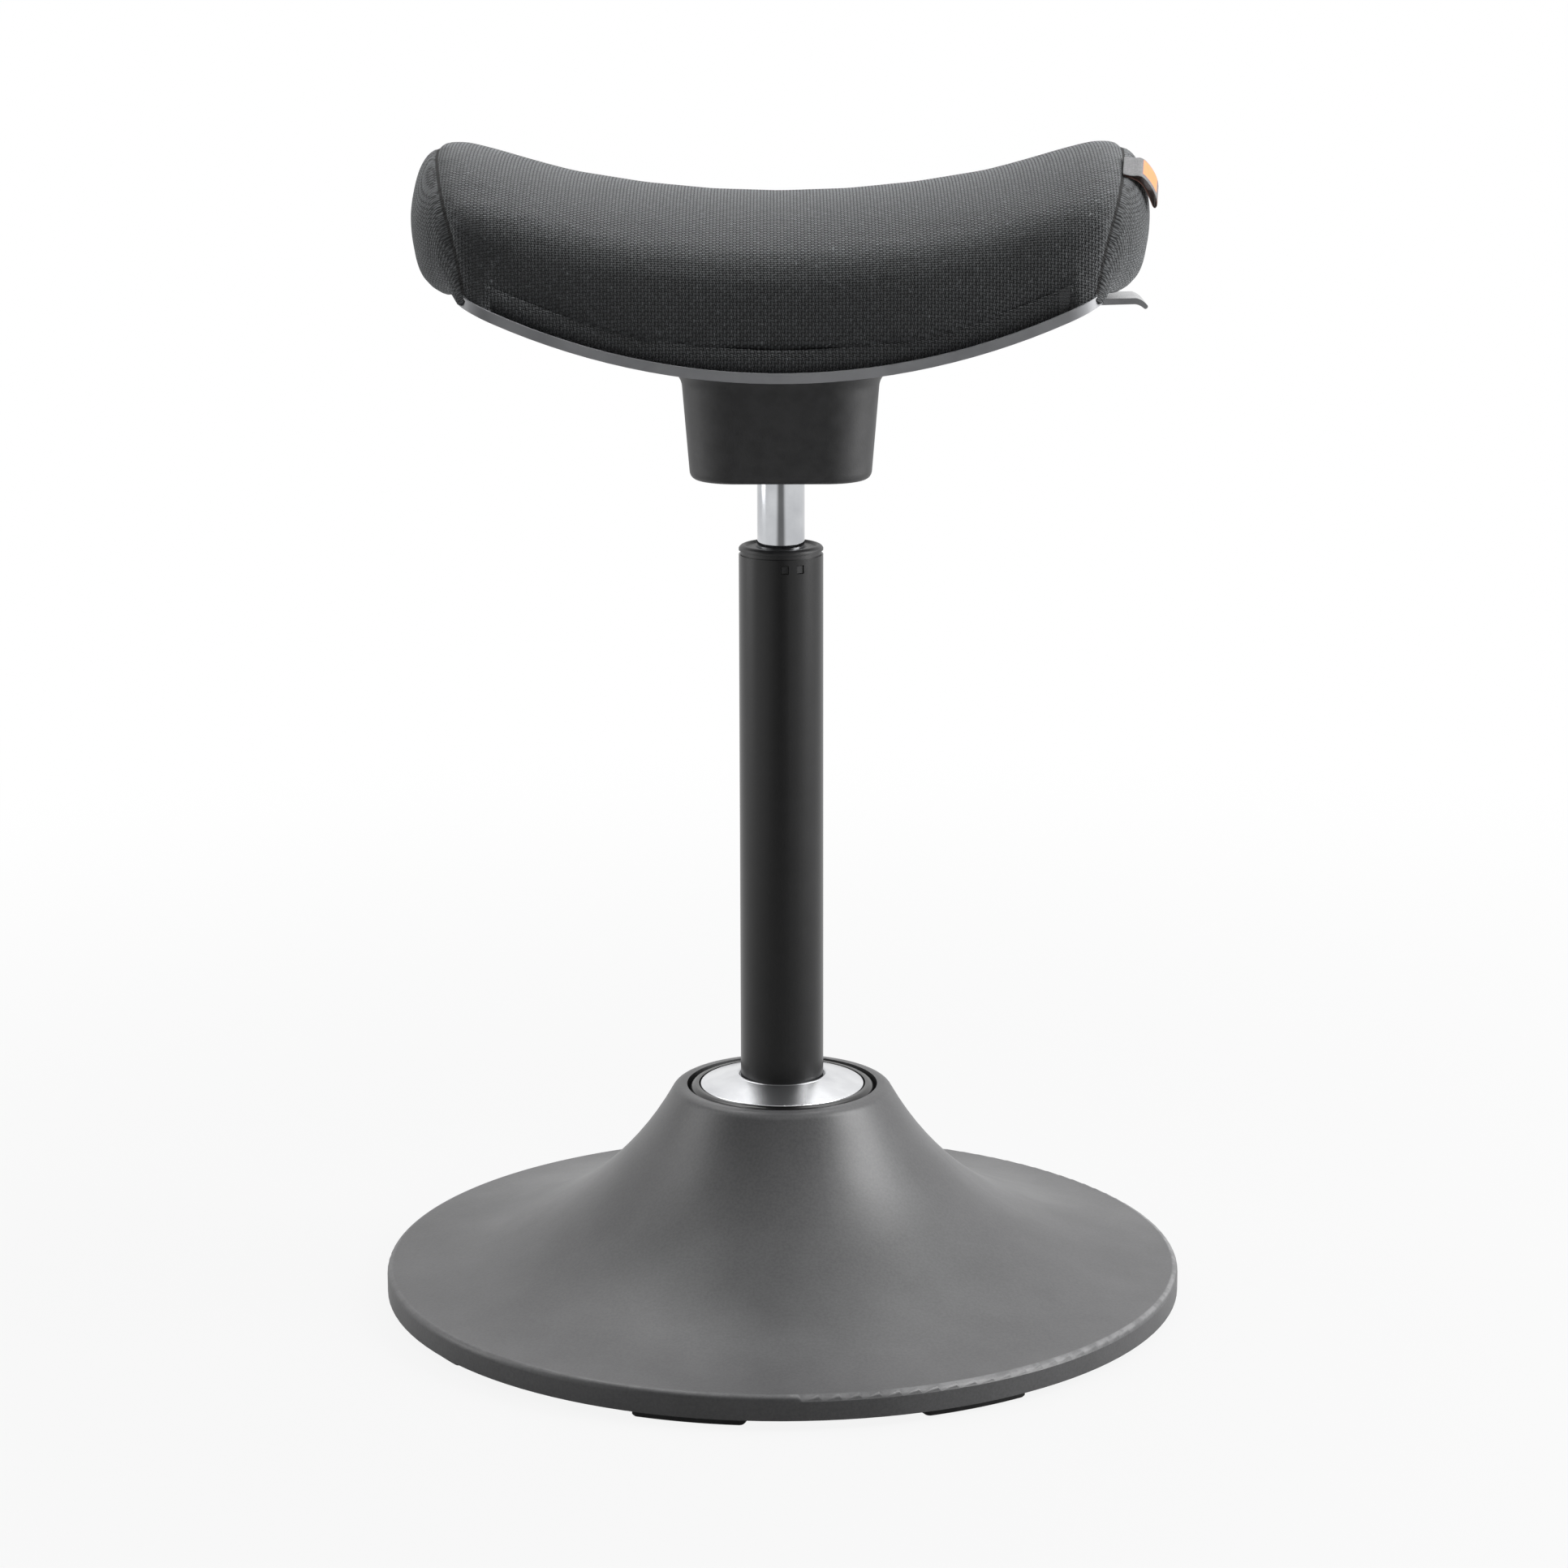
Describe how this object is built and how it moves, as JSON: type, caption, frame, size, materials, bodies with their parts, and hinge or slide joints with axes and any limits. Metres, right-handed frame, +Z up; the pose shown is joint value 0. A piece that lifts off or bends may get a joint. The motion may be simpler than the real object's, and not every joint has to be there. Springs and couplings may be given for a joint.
{
  "type": "perch stool",
  "caption": "Perch stool: round weighted trumpet foot, slim column on a flexible joint, gas lift and a saddle-curved padded seat with a release paddle.",
  "frame": {"origin": "on the floor under the middle of the foot, at the underside of the glide pads", "axes": "+Z up, -Y front, +X towards the release paddle"},
  "size_m": [0.4824, 0.4824, 0.6944],
  "materials": {
    "foot_plastic": "satin dark grey moulded plastic, finely mottled",
    "plate_steel": "black dip-painted ballast steel",
    "zinc_steel": "zinc-plated steel",
    "pad_rubber": "black moulded rubber",
    "cast_housing": "black painted casting",
    "bush_rubber": "black bonded rubber",
    "ring_rubber": "glossy black rubber",
    "black_powder_coat": "fine-textured black powder coat",
    "polished_steel": "polished steel",
    "guide_nylon": "black glass-filled nylon",
    "bright_steel": "ground bright steel",
    "chromed_tube": "hard chrome",
    "bracket_paint": "black electro-painted steel",
    "neck_plastic": "dark grey grained plastic",
    "pan_plastic": "light grey satin plastic",
    "plywood": "bent beech plywood",
    "foam": "cut polyurethane foam",
    "seat_fabric": "black coarse plain weave",
    "tag_ribbon": "dark grey woven ribbon with a plain orange band",
    "lever_paint": "dark grey painted steel"
  },
  "bodies": {
    "base": {"base_cover": "foot_plastic", "base_plate": "plate_steel", "cover_screws": "zinc_steel", "glide_pad_1": "pad_rubber", "glide_pad_2": "pad_rubber", "glide_pad_3": "pad_rubber", "glide_pad_4": "pad_rubber", "glide_pad_5": "pad_rubber", "glide_pad_6": "pad_rubber", "glide_pad_7": "pad_rubber", "glide_pad_8": "pad_rubber", "pivot_housing": "cast_housing", "housing_bolts": "zinc_steel", "bush_shell": "zinc_steel"},
    "rocker": {"flex_bush": "bush_rubber", "seal_ring": "ring_rubber"},
    "column": {"column_tube": "black_powder_coat", "column_hub": "zinc_steel", "hub_dish": "polished_steel", "guide_sleeve": "guide_nylon", "column_disc": "zinc_steel", "bearing_race_lower": "bright_steel", "bearing_balls": "bright_steel"},
    "rod": {"piston_rod": "bright_steel", "piston": "bright_steel", "bearing_race_upper": "bright_steel", "bump_stop": "bush_rubber", "retaining_clip": "bright_steel"},
    "seat": {"pressure_tube": "chromed_tube", "rod_guide": "guide_nylon", "seat_bracket": "bracket_paint", "mount_bolts": "zinc_steel", "neck_cover": "neck_plastic", "seat_shell": "pan_plastic", "shell_screws": "zinc_steel", "seat_board": "plywood", "foam_pad": "foam", "seat_cover": "seat_fabric", "seam_tag": "tag_ribbon", "lever_pin": "zinc_steel"},
    "lever": {"release_lever": "lever_paint"},
    "valve": {"release_pin": "bright_steel"}
  },
  "joints": [
    {"name": "tilt_side", "type": "hinge", "parent": "base", "child": "rocker", "pos_m": [0, 0, 0.129], "axis": [0, 1, 0], "range_deg": [-3, 3], "stiffness_Nm_per_rad": 700, "deforming": ["flex_bush"]},
    {"name": "tilt_fore", "type": "hinge", "parent": "rocker", "child": "column", "pos_m": [0, 0, 0.129], "axis": [1, 0, 0], "range_deg": [-3, 3], "stiffness_Nm_per_rad": 700, "deforming": ["flex_bush"]},
    {"name": "swivel", "type": "hinge", "parent": "column", "child": "rod", "pos_m": [0, 0, 0.04], "axis": [0, 0, 1], "continuous": true},
    {"name": "lift", "type": "slide", "parent": "rod", "child": "seat", "axis": [0, 0, 1], "range_m": [0, 0.2]},
    {"name": "paddle", "type": "hinge", "parent": "seat", "child": "lever", "pos_m": [0.046, 0, 0.5617], "axis": [0, -1, 0], "range_deg": [0, 2], "stiffness_Nm_per_rad": 6},
    {"name": "valve", "type": "slide", "parent": "seat", "child": "valve", "axis": [0, 0, -1], "range_m": [0, 0.00162]}
  ],
  "couplings": [
    {"joint": "valve", "follows": "paddle", "m_per_rad": 0.046}
  ]
}
